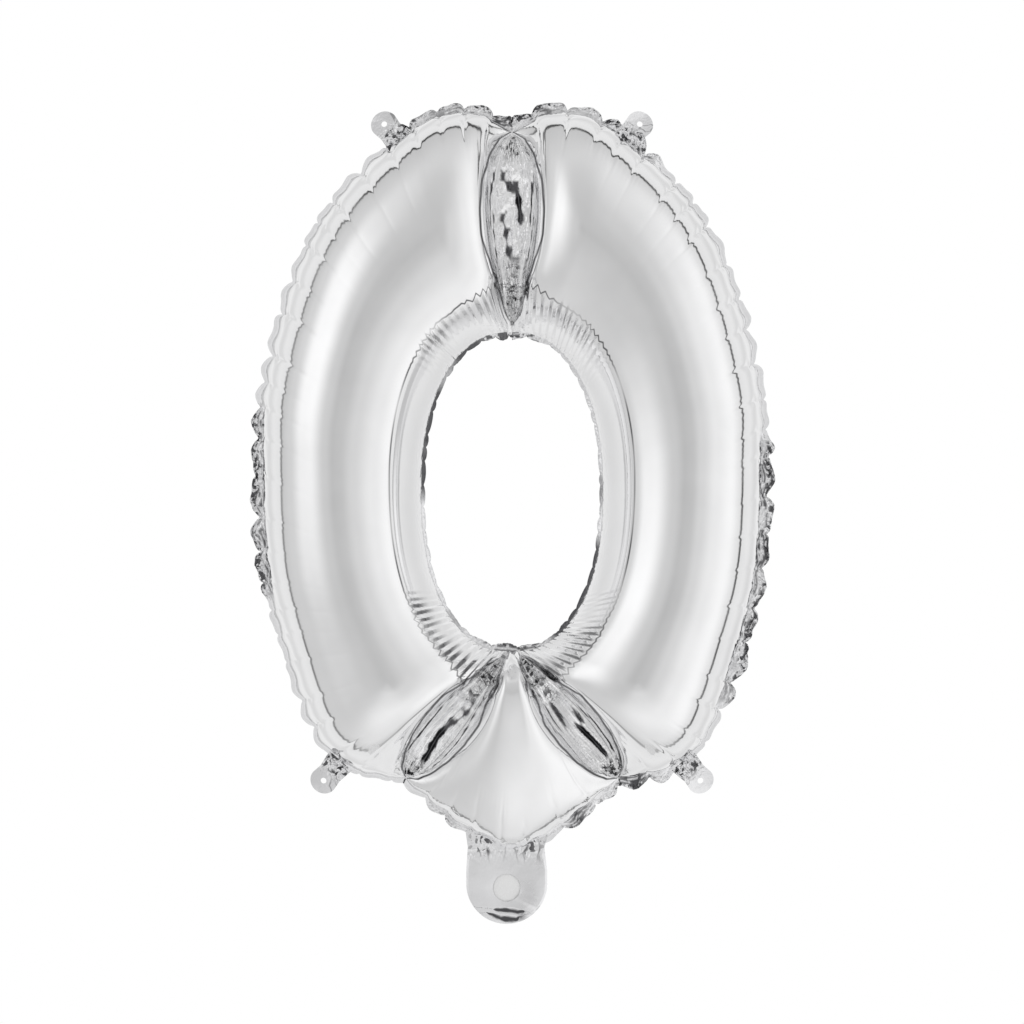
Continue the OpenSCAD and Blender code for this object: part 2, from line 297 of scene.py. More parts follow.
def smooth_columns(v, half):
    """Running mean round the ring, over 2 * half + 1 columns."""
    n = v.shape[1]
    wrap = np.concatenate([v[:, n - half - 1:], v, v[:, :half]], axis=1)
    total = np.cumsum(wrap, axis=1)
    return (total[:, 2 * half + 1:] - total[:, :-2 * half - 1]) / (2 * half + 1)


def every_other_pair(count, first):
    """Two slices: the first and the second points of every other pair of neighbours."""
    n = (count - first) // 2
    return slice(first, first + 2 * n, 2), slice(first + 1, first + 1 + 2 * n, 2)


def pull(a, b, length, push, weight):
    """Moves points a and b to their length apart: fully when too far, by the share push when too near."""
    d = b - a
    n = np.sqrt(np.einsum("...i,...i", d, d)) + 1e-9
    diff = (n - length) / n
    w = np.where(diff > 0, 0.5, 0.5 * push) * weight
    c = d * (diff * w)[..., None]
    a += c
    b -= c


class Film:
    """Front and rear films, solved as two nets of threads that are welded to each other."""

    def __init__(self, front):
        self.cols, self.rows = front.shape[:2]
        self.goal = np.stack([front, front * [1, -1, 1]])
        self.x = self.goal.copy()
        self.du = np.diff(front, axis=0)
        self.dv = np.diff(front, axis=1)
        self.d_rim = np.concatenate([np.zeros((self.cols, 1)),
                                     np.cumsum(np.linalg.norm(self.dv, axis=2), axis=1)], 1)
        self.d_hole = self.d_rim[:, -1:] - self.d_rim
        self.d_dart = np.empty(self.cols)
        for first, end in SECTIONS:
            s = lengths(front[first:end, self.rows // 2])
            self.d_dart[first:end] = np.minimum(s, s[-1] - s)
        self.linked = np.ones((self.cols - 1, 1))
        for a, _ in cuts[:2]:
            self.linked[a] = 0
        self.pinned = np.zeros((self.cols, self.rows), bool)
        for a, b in cuts:
            self.pinned[a] = self.pinned[b] = welded
        near_weld = np.minimum(self.d_rim, self.d_hole)
        self.crown_hold = HOLD_CROWN * clamp((near_weld - 12) / 20)[..., None] ** 2

    def spare(self):
        """Length of the cut film against the smooth shape, along the ring and across it."""
        rim = SPARE_AT_RIM * np.exp(-(self.d_rim / RIM_REACH) ** 1.5)
        dart = SPARE_AT_DART * bell(self.d_dart, 0, DART_REACH)
        return 1 + rim[:-1], 1 + dart[:, None] * np.ones(self.rows - 1)[None]

    def outward(self, x):
        """Area normals, out of the gas."""
        nu = np.gradient(x, axis=1)
        nv = np.gradient(x, axis=2)
        for a, b in cuts:
            nu[:, a] = x[:, a] - x[:, a - 1]
            nu[:, b] = x[:, (b + 1) % self.cols] - x[:, b]
        normal = np.cross(nu, nv)
        normal[0] *= -1
        return normal

    def bend(self, x):
        """Stiffness against bending; across the ring only against bending away from the smooth shape."""
        round_ring = np.zeros_like(x)
        round_ring[:, 1:-1] = x[:, :-2] - 2 * x[:, 1:-1] + x[:, 2:]
        for a, b in cuts:
            round_ring[:, a] = round_ring[:, b] = 0
        x += BEND_ALONG * round_ring
        across = x[:, :, :-2] - 2 * x[:, :, 1:-1] + x[:, :, 2:]
        across -= self.goal[:, :, :-2] - 2 * self.goal[:, :, 1:-1] + self.goal[:, :, 2:]
        x[:, :, 1:-1] += BEND_ACROSS * across

    def weld(self, x):
        """Joins the films at the rim, at the hole and at the darts, and holds the smooth shape."""
        rim = (x[0, :, 0] + x[1, :, 0]) / 2
        rim[:, 1] *= RIM_DRIFT
        x[0, :, 0] = x[1, :, 0] = rim
        hole = (x[0, :, -1] + x[1, :, -1]) / 2
        hole[:, 1] *= HOLE_DRIFT
        x[0, :, -1] = x[1, :, -1] = hole
        for a, b in cuts:
            x[:, a] = x[:, b] = (x[:, a] + x[:, b]) / 2
        for sheet in (0, 1):
            x[sheet][self.pinned] = self.goal[sheet][self.pinned]
        drift = self.goal - x
        x += HOLD_MEAN * smooth_columns(drift, 5)
        x += self.crown_hold * drift

    def run(self, steps):
        """Relaxes the nets, while their spare length grows to its full amount."""
        x, du, dv, linked = self.x, self.du, self.dv, self.linked
        s_u, s_v = self.spare()
        base_u, base_v = np.linalg.norm(du, axis=2), np.linalg.norm(dv, axis=2)
        last = x.copy()
        for step in range(steps):
            grow = min(1.0, step / (0.6 * steps))
            stretch = 1 + (s_u - 1) * grow
            lu = base_u * stretch
            lv = base_v * (1 + (s_v - 1) * grow)
            k1 = np.linalg.norm(du[:, :-1] * stretch[:, :-1, None] + dv[1:], axis=2)
            k2 = np.linalg.norm(du[:, 1:] * stretch[:, 1:, None] - dv[1:], axis=2)
            move = DAMPING * (x - last) + PRESSURE * self.outward(x)
            last = x.copy()
            x += np.clip(move, -MAX_MOVE, MAX_MOVE)
            self.bend(x)
            for par in (0, 1):
                a, b = every_other_pair(self.cols, par)
                pull(x[:, a], x[:, b], lu[a][None], 0.9, linked[a][None])
                pull(x[:, a, :-1], x[:, b, 1:], k1[a][None], 0.25, linked[a][None] * 0.6)
                pull(x[:, a, 1:], x[:, b, :-1], k2[a][None], 0.25, linked[a][None] * 0.6)
            for par in (0, 1):
                a, b = every_other_pair(self.rows, par)
                pull(x[:, :, a], x[:, :, b], lv[:, a][None], 0.6, 1.0)
            self.weld(x)

    def seed_wrinkles(self):
        """Starts the wrinkles: pinches drawn in from the rim, and a little noise."""
        pinch = pinches(self.cols, SEED_LENGTH, (11, 20))
        fall = np.exp(-self.d_rim / 14.0)
        inward = self.goal[0, :, ROWS // 2] - self.goal[0, :, 0]
        inward = inward / np.linalg.norm(inward, axis=1)[:, None]
        for sheet, mirror in enumerate(([1, 1, 1], [1, -1, 1])):
            self.x[sheet] += 0.9 * pinch[:, None, None] * fall[..., None] * (inward * mirror)[:, None]
        self.x[..., 1] += rng.normal(0, 0.05, self.x.shape[:3])


film = Film(shape)
film.seed_wrinkles()
film.run(STEPS)


# ---- meshes from grids ----

def midpoints(v, axis):
    """Catmull-Rom refinement: twice as many points along one axis."""
    v = np.moveaxis(v, axis, 0)
    ext = np.concatenate([2 * v[:1] - v[1:2], v, 2 * v[-1:] - v[-2:-1]])
    mid = (9 * (ext[1:-2] + ext[2:-1]) - ext[:-3] - ext[3:]) / 16
    out = np.empty((2 * len(v) - 1,) + v.shape[1:])
    out[::2] = v
    out[1::2] = mid
    return np.moveaxis(out, 0, axis)


def grid_faces(n, m, start, wrap=False):
    """Quads over a grid of n columns of m points, whose first point has the number start."""
    i, j = np.meshgrid(np.arange(n if wrap else n - 1), np.arange(m - 1), indexing="ij")
    a = start + i * m + j
    b = start + (i + 1) % n * m + j
    return np.stack([a, b, b + 1, a + 1], -1).reshape(-1, 4)


def make_mesh(name, grids, body, material, marks, flips=(False,), wrap=False, merge=0.02):
    """One object from grids of points in mm.

    marks holds, under the name the material reads it by, an array of values for every grid. flips says
    of each grid whether its faces are turned round, and wrap closes its first axis.
    """
    verts, faces, start = [], [], 0
    for g, flip_faces in zip(grids, flips):
        n, m = g.shape[:2]
        f = grid_faces(n, m, start, wrap)
        verts.append(g.reshape(-1, 3))
        faces.append(f[:, ::-1] if flip_faces else f)
        start += n * m
    verts = np.concatenate(verts) * MM
    faces = np.concatenate(faces)
    mesh = bpy.data.meshes.new(name)
    mesh.from_pydata(verts.tolist(), [], faces.tolist())
    for label, values in marks.items():
        layer = mesh.attributes.new(label, "FLOAT", "POINT")
        layer.data.foreach_set("value", np.concatenate([a.reshape(-1) for a in values]))
    bm = bmesh.new()
    bm.from_mesh(mesh)
    bmesh.ops.remove_doubles(bm, verts=bm.verts, dist=merge * MM)
    bmesh.ops.dissolve_degenerate(bm, dist=1e-6, edges=bm.edges)
    bm.to_mesh(mesh)
    bm.free()
    mesh.polygons.foreach_set("use_smooth", [True] * len(mesh.polygons))
    mesh.materials.append(material)
    obj = bpy.data.objects.new(name, mesh)
    bpy.context.collection.objects.link(obj)
    if body:
        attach(obj, body)
    return obj


# ---- materials ----

def add(tree, kind, sockets, **settings):
    """A new shader node. sockets holds a constant or the output to link, by each input's name or number."""
    node = tree.nodes.new("ShaderNode" + kind)
    for name, value in settings.items():
        setattr(node, name, value)
    for key, value in sockets.items():
        if isinstance(value, bpy.types.NodeSocket):
            tree.links.new(value, node.inputs[key])
        else:
            node.inputs[key].default_value = value
    return node


def calc(tree, operation, *values):
    """Result of a Math node on constants and outputs."""
    return add(tree, "Math", dict(enumerate(values)), operation=operation).outputs["Value"]


def spread(tree, value, start, end, low=0.0, high=1.0):
    """A value that is brought from the range start to end to the range low to high."""
    sockets = {"Value": value, "From Min": start, "From Max": end, "To Min": low, "To Max": high}
    return add(tree, "MapRange", sockets).outputs["Result"]


def ramp(tree, value, stops, interpolation="LINEAR"):
    """Greys or colours at positions from 0 to 1."""
    node = add(tree, "ValToRGB", {"Fac": value})
    node.color_ramp.interpolation = interpolation
    elements = node.color_ramp.elements
    while len(elements) < len(stops):
        elements.new(0.5)
    for element, (position, colour) in zip(elements, stops):
        element.position = position
        element.color = (*np.broadcast_to(colour, 3), 1)
    return node.outputs["Color"]


def mesh_value(tree, name):
    """A value that the mesh carries at each point."""
    return add(tree, "Attribute", {}, attribute_name=name).outputs["Fac"]


def new_material(name):
    mat = bpy.data.materials.new(name)
    mat.use_nodes = True
    return mat, mat.node_tree, mat.node_tree.nodes["Principled BSDF"]


def foil_material(name, tint, rough, fine, crease, lines=False):
    """Metallised film: a mirror with faint haze, fine wrinkles and sharper creases where it is crumpled.

    fine is the height of its soft ripples in metres and crease the strength of the crumples. lines paints
    thin dark lines where the mesh's distance to a line is near zero: a painted reflection of the studio's
    dark gap.
    """
    mat, tree, shader = new_material(name)
    shader.inputs["Metallic"].default_value = 1.0
    place = add(tree, "TexCoord", {}).outputs["Object"]
    crumple = mesh_value(tree, "crumple")
    haze = add(tree, "TexNoise", {"Vector": place, "Scale": 55.0, "Detail": 5.0}).outputs["Fac"]
    tone = ramp(tree, haze, ((0.3, [0.955 * v for v in tint]), (0.7, tint)))
    tree.links.new(spread(tree, haze, 0.35, 0.7, rough * 0.7, rough * 1.5), shader.inputs["Roughness"])

    # sharp little facets, only where the film is crumpled
    warp = add(tree, "TexNoise", {"Vector": place, "Scale": 160.0, "Detail": 3.0}).outputs["Color"]
    warped = add(tree, "VectorMath", {0: warp, 1: (0.006, 0.006, 0.006), 2: place}, operation="MULTIPLY_ADD")
    cells = add(tree, "TexVoronoi", {"Vector": warped.outputs["Vector"], "Scale": 620.0})

    # painted shade: facets taken as turned away from the light are coloured dark; some of the crumpled ones,
    # and those marked on the mesh
    turned = ramp(tree, cells.outputs["Color"], ((0.0, 0.0), (0.70, 0.9)), "CONSTANT")
    dark = calc(tree, "MAXIMUM", mesh_value(tree, "shade"),
                calc(tree, "MULTIPLY", turned, spread(tree, crumple, 0.35, 0.75)))
    if lines:
        # painted reflection: thin dark lines, standing in for the studio's dark gap seen in the film
        core = spread(tree, calc(tree, "ABSOLUTE", mesh_value(tree, "line")), 0.15, 0.75, 1.0, 0.0)
        dark = calc(tree, "MAXIMUM", dark, calc(tree, "MULTIPLY", core, mesh_value(tree, "depth")))
    colour = add(tree, "Mix", {"Factor": dark, "A": tone, "B": (0.035, 0.035, 0.04, 1)}, data_type="RGBA")
    tree.links.new(colour.outputs["Result"], shader.inputs["Base Color"])

    bump = add(tree, "Bump", {"Distance": 0.0012, "Strength": calc(tree, "MULTIPLY", crumple, crease),
                              "Height": cells.outputs["Distance"]})
    ripple = add(tree, "TexNoise", {"Vector": place, "Scale": 30.0, "Detail": 1.0})
    soft = add(tree, "Bump", {"Distance": fine, "Strength": 0.5, "Height": ripple.outputs["Fac"],
                              "Normal": bump.outputs["Normal"]})
    tree.links.new(soft.outputs["Normal"], shader.inputs["Normal"])
    return mat


def valve_material():
    """Clear polyethylene, slightly milky, with faint streaks."""
    mat, tree, shader = new_material("valve_film")
    shader.inputs["Transmission Weight"].default_value = 0.06
    shader.inputs["IOR"].default_value = 1.45
    place = add(tree, "TexCoord", {}).outputs["Object"]
    streak = add(tree, "TexNoise", {"Vector": place, "Scale": 90.0}).outputs["Fac"]
    bump = add(tree, "Bump", {"Distance": 0.0002, "Height": streak})
    tree.links.new(ramp(tree, streak, ((0.0, 0.95), (1.0, 0.99))), shader.inputs["Base Color"])
    tree.links.new(spread(tree, streak, 0.0, 1.0, 0.15, 0.4), shader.inputs["Roughness"])
    tree.links.new(bump.outputs["Normal"], shader.inputs["Normal"])
    return mat


foil = foil_material("foil", (0.93, 0.93, 0.935), 0.075, 0.0002, 0.5, lines=True)
seal_foil = foil_material("foil_seal", (0.84, 0.84, 0.85), 0.14, 0.0004, 1.0)
tail_foil = foil_material("tail_foil", (0.91, 0.91, 0.92), 0.34, 0.0009, 0.5)
dart_foil = foil_material("foil_dart", (0.96, 0.96, 0.965), 0.10, 0.0003, 1.0)
clear_film = valve_material()


# ---- the inflated films ----

def refined(v):
    """Twice as many points along both axes of a grid."""
    return midpoints(midpoints(v, 0), 1)


def knots_along(s, steps, r):
    """Places along s, from just before it to past its end, that are a random step apart."""
    return np.cumsum(r.uniform(*steps, int((s[-1] - s[0]) / steps[0]) + 4)) + s[0] - steps[1]


def folds(s, steps, seed):
    """Random faceted profile along s: straight flanks between creases, values from -1 to 1."""
    r = np.random.default_rng(seed)
    knots = knots_along(s, steps, r)
    return np.interp(s, knots, r.uniform(-1, 1, len(knots)))


def pleats(s, steps, seed):
    """Zigzag with an irregular pitch: up and down in turn, heights from 0.4 to 1."""
    r = np.random.default_rng(seed)
    knots = knots_along(s, steps, r)
    sign = np.where(np.arange(len(knots)) % 2, 1.0, -1.0)
    return np.interp(s, knots, sign * r.uniform(0.4, 1.0, len(knots)))


def soft_noise(s, scale, seed):
    """Smooth random profile along s, from about -1 to 1."""
    r = np.random.default_rng(seed)
    total = np.zeros_like(s)
    for k in range(5):
        total += np.sin(2 * np.pi * s / (scale * r.uniform(0.6, 1.8)) + r.uniform(0, 6.28))
    return total / 2.5


def stacked(v):
    """Refines the three sections of an array of columns and joins them again."""
    return np.concatenate([refined(v[a:b]) for a, b in SECTIONS])


SIZES = [2 * (b - a) - 1 for a, b in SECTIONS]
rim_arc = np.clip(stacked(film.d_rim), 0, None)
hole_arc = np.clip(stacked(film.d_hole), 0, None)
dart_arc = np.concatenate([midpoints(film.d_dart[a:b, None], 0) for a, b in SECTIONS])
dart_arc = np.clip(dart_arc, 0, None)
goal_fine = stacked(film.goal[0])
rim_s = lengths(goal_fine[:, 0])
hole_s = lengths(goal_fine[:, -1])

# Pinches: places along the rim where the film is drawn in, with a smooth pillow between two of them
pinch_rng = np.random.default_rng(11)
rim_pinches = np.cumsum(pinch_rng.uniform(11.5, 20.5, 90))
rim_pinches = rim_pinches[rim_pinches < rim_s[-1]]
pinch_size = pinch_rng.uniform(0.45, 1.0, len(rim_pinches))

# Pleats down the wall of the hole: one zigzag, shared by the film and by the crease along its top
pleat_s = np.arange(-6.0, hole_s[-1] + 12.0, 0.05)
pleat_h = pleats(pleat_s, (0.9, 1.9), 45)


def plan_distance(points, start, end):
    """Distance in the weld plane from a dart's axis, and share of the way along it."""
    axis = end - start
    rel = points[..., [0, 2]] - start
    share = rel @ axis / (axis @ axis)
    off = np.abs(rel[..., 0] * axis[1] - rel[..., 1] * axis[0]) / np.linalg.norm(axis)
    return off, share


# The painted dark line, a painted reflection of the studio's dark gap, along the top of each valley:
# the dart's first column and the valley's greatest half width, then the share of that width along the dart
VALLEYS = ((0, 15.0), (SIDE, 11.5), (SIDE + LOW + 1, 11.5))
VALLEY_SHAPE = ((0.0, 0.0), (0.04, 0.40), (0.12, 0.68), (0.25, 0.92), (0.40, 1.0), (0.55, 0.94),
                (0.68, 0.63), (0.80, 0.42), (0.92, 0.12), (0.98, 0.0))
VALLEY_LENGTH = 110  # roughly, from the rim to the hole
WALL_WIDTH = 30.0  # how far the wall of the hole goes out over the film


def painted_reflection_lines(sheet, points):
    """Distance in mm from the nearest painted dark line, and how dark that line is."""
    goal = film.goal[0]
    best = np.full(points.shape[:2], 99.0)
    depth = np.zeros(points.shape[:2])
    for k, (column, reach) in enumerate(VALLEYS):
        start, end = goal[column, 0, [0, 2]], goal[column, -1, [0, 2]]
        if column == 0:
            start, end = start * [0, 1], end * [0, 1]
        off, share = plan_distance(points, start, end)
        way = np.linspace(0, VALLEY_LENGTH, 900)
        jitter = 0.35 * folds(way, (1.0, 3.0), 61 + k + sheet)
        jitter = np.interp(share * VALLEY_LENGTH, way, jitter)
        rough = clamp((share - 0.62) / 0.2) * 2.0 + 0.5
        line = off - reach * np.interp(share, *zip(*VALLEY_SHAPE)) + jitter * rough
        near = (share > 0.0) & (share < 0.97) & (off < 25)
        closer = near & (np.abs(line) < np.abs(best))
        best[closer] = line[closer]
        depth[closer] = 0.9 * np.clip((0.9 - share[closer]) / 0.15, 0.4, 1)
    # painted dark line along the top of the wall round the hole, a painted reflection of the dark gap
    at_hole = goal_fine[:, -1]
    bend = clamp((np.abs(at_hole[:, 2] - HOLE_Z) / HOLE_B - 0.60) / 0.25)
    swing = np.clip(0.9 + 0.8 * soft_noise(hole_s, 26, 72), 0.15, 1.7)
    teeth = np.interp(hole_s + 3.0, pleat_s, pleat_h)
    ragged = WALL_WIDTH + (teeth * 1.5 * swing + 0.9 * folds(hole_s, (3, 8), 74)) * bend
    line = hole_arc - ragged[:, None]
    clear = dart_arc > 7.0
    clear[SIZES[0]:SIZES[0] + SIZES[1]] = False  # the chamber has no such painted line
    closer = clear & (np.abs(line) < np.abs(best))
    best[closer] = line[closer]
    strength = np.clip(0.62 + 0.4 * soft_noise(hole_s, 35, 73), 0.1, 0.9)
    depth[closer] = (strength[:, None] * np.ones(depth.shape))[closer]
    return best, depth


def surface_normals(x, sheet):
    """Unit normals of a refined film, out of the gas."""
    nu = np.gradient(x, axis=0)
    nv = np.gradient(x, axis=1)
    edge = 0
    for size in SIZES:
        nu[edge] = x[edge + 1] - x[edge]
        edge += size
        nu[edge - 1] = x[edge - 1] - x[edge - 2]
    normal = np.cross(nu, nv)
    normal /= np.linalg.norm(normal, axis=2)[..., None] + 1e-12
    return normal if sheet else -normal


def creased(sheet):
    """The solved film with its sharpest creases put back, and the painted shade on the flanks of its pleats.

    The creases are the pinches at the rim and the pleats round the hole and the darts.
    """
    x = stacked(film.x[sheet])
    normal = surface_normals(x, sheet)
    inward = goal_fine[:, goal_fine.shape[1] // 2] - goal_fine[:, 0]
    inward[:, 1] = 0
    inward /= np.linalg.norm(inward, axis=1)[:, None]

    # rim: pillows between pinches; each pinch is a sharp crease that wanders a little on its way in
    wander = 1.3 * folds(np.linspace(0, rim_arc.max(), x.shape[1]), (3, 8), 31 + sheet)
    place = rim_s[:, None] + wander * clamp(rim_arc / 8)
    left = np.clip(np.searchsorted(rim_pinches, place) - 1, 0, len(rim_pinches) - 2)
    span = rim_pinches[left + 1] - rim_pinches[left]
    u = np.clip(2 * (place - rim_pinches[left]) / span - 1, -1, 1)
    off = (1 - np.abs(u)) * span / 2
    size = np.where(u > 0, pinch_size[left + 1], pinch_size[left])
    at_rim = goal_fine[:, 0]
    calm = clamp(np.minimum(at_rim[:, 2] + 95, 70 - at_rim[:, 2]) / 30)
    calm = np.maximum(calm, 0.9 * (at_rim[:, 2] < -118))
    clear = clamp((dart_arc - 4) / 10) * (1 - 0.7 * calm)[:, None]
    draw = size * clear * (0.45 * np.abs(u) ** 4 + 0.55 * np.exp(-off / 0.8))
    x += inward[:, None] * (1.9 * draw * np.exp(-rim_arc / 16.0))[..., None]
    x -= normal * (1.2 * draw * bell(rim_arc, 12, 10.0))[..., None]
    nicks = pleats(rim_s, (0.9, 1.9), 37 + sheet)[:, None]
    nicked = size * clear * np.exp(-off / 3.0) * bell(rim_arc, 23, 6.0)
    x += normal * (0.34 * nicks * nicked)[..., None]

    # fine pleats down the wall of the hole, strongest where its edge curves most
    at_hole = goal_fine[:, -1]
    bend = clamp((np.abs(at_hole[:, 2] - HOLE_Z) / HOLE_B - 0.62) / 0.2) ** 1.2
    below = at_hole[:, 2] < HOLE_Z
    strength = bend * np.where(below, 0.80, 0.56) * (0.75 + 0.4 * soft_noise(hole_s, 30, 41))
    strength *= clamp((dart_arc[:, 0] - 1) / 8)
    ragged = 31 + 3.0 * folds(hole_s, (0.8, 2.0), 43 + sheet)
    window = clamp((ragged[:, None] - hole_arc) / 5.0) * np.clip(hole_arc / 3.0, 0.25, 1)
    slant = hole_s[:, None] + 0.10 * hole_arc
    pattern = np.interp(slant, pleat_s, pleat_h)
    window *= clamp((31.0 + 1.5 * pattern - hole_arc) / 1.5)
    x += normal * (strength[:, None] * window * pattern)[..., None]
    # painted shade on one flank of each pleat near the top of the wall, stronger below the hole
    flank = clamp(np.gradient(pattern, axis=0) * 9 - 0.4)
    top = clamp(1.15 - np.abs(ragged[:, None] - 7 - hole_arc) / 9.0) * (window > 0.3)
    share = np.where(below, 2.0, 1.1)[:, None]
    shade = np.clip(share * strength[:, None] * flank * top, 0, 0.8)

    # pleats round the foot of each dart
    f = clamp(stacked(row_f[None] * np.ones((len(shape), 1))))
    foot = bell(dart_arc, 0, 4.5) * clamp(np.minimum(f / 0.1, (1 - f) / 0.05))
    way = np.linspace(0, 1, 2001)
    dense = np.interp(f, way, pleats(np.linspace(0, 108, 2001), (0.7, 1.6), 47 + sheet))
    x += normal * (0.50 * foot * dense * clamp(dart_arc / 1.5))[..., None]
    return x, shade


sheets, pleat_shades = zip(*(creased(sheet) for sheet in (0, 1)))
rim_line = (sheets[0][:, 0] + sheets[1][:, 0]) / 2
hole_line = (sheets[0][:, -1] + sheets[1][:, -1]) / 2
for sheet in sheets:
    sheet[:, 0] = rim_line
    sheet[:, -1] = hole_line


def by_section(v):
    """The three sections of a refined array of columns."""
    ends = np.cumsum([0] + SIZES)
    return [v[a:b] for a, b in zip(ends[:-1], ends[1:])]


def inflated_piece(name, sheet, node):
    """One inflated film of the balloon. sheet is 0 for the front film and 1 for the rear one."""
    near = np.exp(-np.minimum(rim_arc / 5.0, hole_arc / 7.0))
    near = np.maximum(near, np.exp(-dart_arc / 5.0))
    line, depth = painted_reflection_lines(sheet, sheets[sheet])
    marks = {"crumple": clamp(near) * 0.22, "shade": pleat_shades[sheet],
             "line": line, "depth": depth}
    obj = make_mesh(name, by_section(sheets[sheet]), "balloon", foil, flips=[sheet == 0] * 3,
                    marks={label: by_section(values) for label, values in marks.items()})
    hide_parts(node)


inflated_piece("front_film", 0, "front_foil")
inflated_piece("rear_film", 1, "rear_foil")


# ---- crinkled welds ----

def outward_of(path, half):
    """Direction in the weld plane away from the tube, averaged over a few points."""
    wrap = np.concatenate([path[-half:], path, path[:half]])
    tangent = wrap[2 * half:] - wrap[:-2 * half]
    tangent /= np.linalg.norm(tangent, axis=1)[:, None]
    return np.stack([-tangent[:, 2], np.zeros(len(path)), tangent[:, 0]], 1)


def scallops(s, edges, seed):
    """Half-round lobes between the given edges along s, from 0 to 1."""
    r = np.random.default_rng(seed)
    edges = np.concatenate([[-10], edges, [s[-1] + 10]])
    i = np.clip(np.searchsorted(edges, s) - 1, 0, len(edges) - 2)
    t = (s - edges[i]) / (edges[i + 1] - edges[i])
    height = r.uniform(0.45, 1.0, len(edges))
    return np.sqrt(clamp(np.sin(np.pi * clamp(t)))) * height[i]


# Stretches of the rim where the margin is crushed: side (-1 left, 1 right), lowest and highest z,
# counted from 14.5 mm below the middle of the digit
CRUSHED_ZERO = 14.5
CRUSHED = ((-1, -42, 52), (1, -95, 38), (-1, 168, 200), (1, 160, 200), (1, -150, -118), (-1, -150, -134))


def crush(path, s, seed):
    """How crumpled the margin is at each point of the rim, from 0.1 to about 1."""
    amount = np.zeros(len(path))
    z = path[:, 2] - DIGIT_Z + CRUSHED_ZERO
    for side, low_z, high_z in CRUSHED:
        inside = clamp(np.minimum(z - low_z, high_z - z) / 8)
        amount = np.maximum(amount, inside * (path[:, 0] * side > 0))
    return np.clip(0.12 + amount * (0.8 + 0.35 * soft_noise(s, 45, seed)), 0.1, 1.1)


def margin_piece(name, node, path, s, width, lobes, rows, sign, amplitude, seed):
    """The crinkled strip beyond a weld line. sign is 1 round the rim and -1 round the hole."""
    out = outward_of(path, 10) * sign
    near_neck = (np.abs(path[:, 0] - TAIL_X) < 15) & (path[:, 2] < DIGIT_Z - 160 * K)
    gathers = bell(path[:, 0], 0, 13)  # at the upper and lower ends of the hole
    crumpled = crush(path, s, seed + 1) if sign > 0 else 0.4 + 0.6 * gathers
    lobe = scallops(s, lobes, seed)
    width = width * (0.28 + 0.32 * lobe + crumpled * (0.10 + 0.42 * lobe))
    width = np.where(near_neck, 1.0, width)  # the tail goes on from there
    if sign < 0:
        width *= 1 + 0.5 * gathers
    curl = 1.7 * (1 - clamp(crumpled * 1.3)) if sign > 0 else 0.6
    grid = np.empty((len(s), rows + 1, 3))
    mark, shade = np.empty((2, len(s), rows + 1))
    tangent = np.stack([out[:, 2], out[:, 1], -out[:, 0]], 1)
    side = -path[:, 0] * (path[:, 2] - HOLE_Z) / (HOLE_A * HOLE_B)
    for k in range(rows + 1):
        t = k / rows
        wave = 0.7 * folds(s, (2.2, 6.0), seed + 2) + 0.45 * folds(s, (0.8, 2.4), seed + 3 + k)
        slide = folds(s, (1.5, 4.0), seed + 20 + k)
        grid[:, k] = path + out * (width * t * (1 - 0.10 * crumpled * np.abs(wave)))[:, None]
        grid[:, k, 1] += amplitude * t ** 0.7 * crumpled * wave + curl * width * t ** 1.4
        grid[:, k] += tangent * (0.35 * t * crumpled * slide)[:, None]
        mark[:, k] = clamp(crumpled * (0.25 + t))
        # painted shade: dark patches where the rim's margin is crumpled; round the hole a dimness, darker
        # towards the upper left and the lower right, and a dark mosaic in the gathers
        away = folds(s, (1.2, 3.4), seed + 40 + k) + 0.6 * soft_noise(s, 25, seed + 60)
        if sign > 0:
            shade[:, k] = np.clip((away - 0.25) * 5, 0, 0.92) * clamp(2.2 * crumpled - 0.9)
        else:
            dim = np.clip(0.30 + 1.8 * side + 0.9 * soft_noise(s, 50, seed + 60), 0, 0.9)
            shade[:, k] = np.where(gathers > 0.35, 0.85 * (away > 0.15), dim)
    piece = make_mesh(name, [grid], "balloon", seal_foil, marks={"crumple": [mark], "shade": [shade]},
                      wrap=True)
    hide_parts(node)


hole_lobes = np.cumsum(np.random.default_rng(12).uniform(5, 13, 80))
hole_lobes = hole_lobes[hole_lobes < hole_s[-1]]
margin_piece("rim_margin", "outer_seal", rim_line, rim_s, MARGIN, rim_pinches,
             rows=7, sign=1.0, amplitude=2.1, seed=100)
margin_piece("hole_margin", "hole_seal", hole_line, hole_s, HOLE_MARGIN, hole_lobes,
             rows=3, sign=-1.0, amplitude=0.5, seed=200)


def wrinkle(x, z, scale, seed, octaves=4):
    """Faceted wrinkles over a flat film: folded sine ridges in random directions."""
    r = np.random.default_rng(seed)
    total = np.zeros_like(x)
    for k in range(octaves):
        a = r.uniform(0, np.pi)
        lam = scale * r.uniform(0.6, 1.5) / (1 + 0.5 * k)
        bow = 0.5 * np.sin((z * np.cos(a) - x * np.sin(a)) / scale + k)
        phase = (x * np.cos(a) + z * np.sin(a)) / lam + bow
        total += (1 - 2 * np.abs(np.sin(phase))) / (1 + k)
    return total / octaves


BRIDGE_AT, BRIDGE_REACH = 0.725, 0.045  # share of the column where a dart's weld is smoother
FOLDED = (0.08, 0.70)  # shares between which the weld is folded instead of crumpled


def four_times(v):
    return midpoints(midpoints(v, 0), 0)


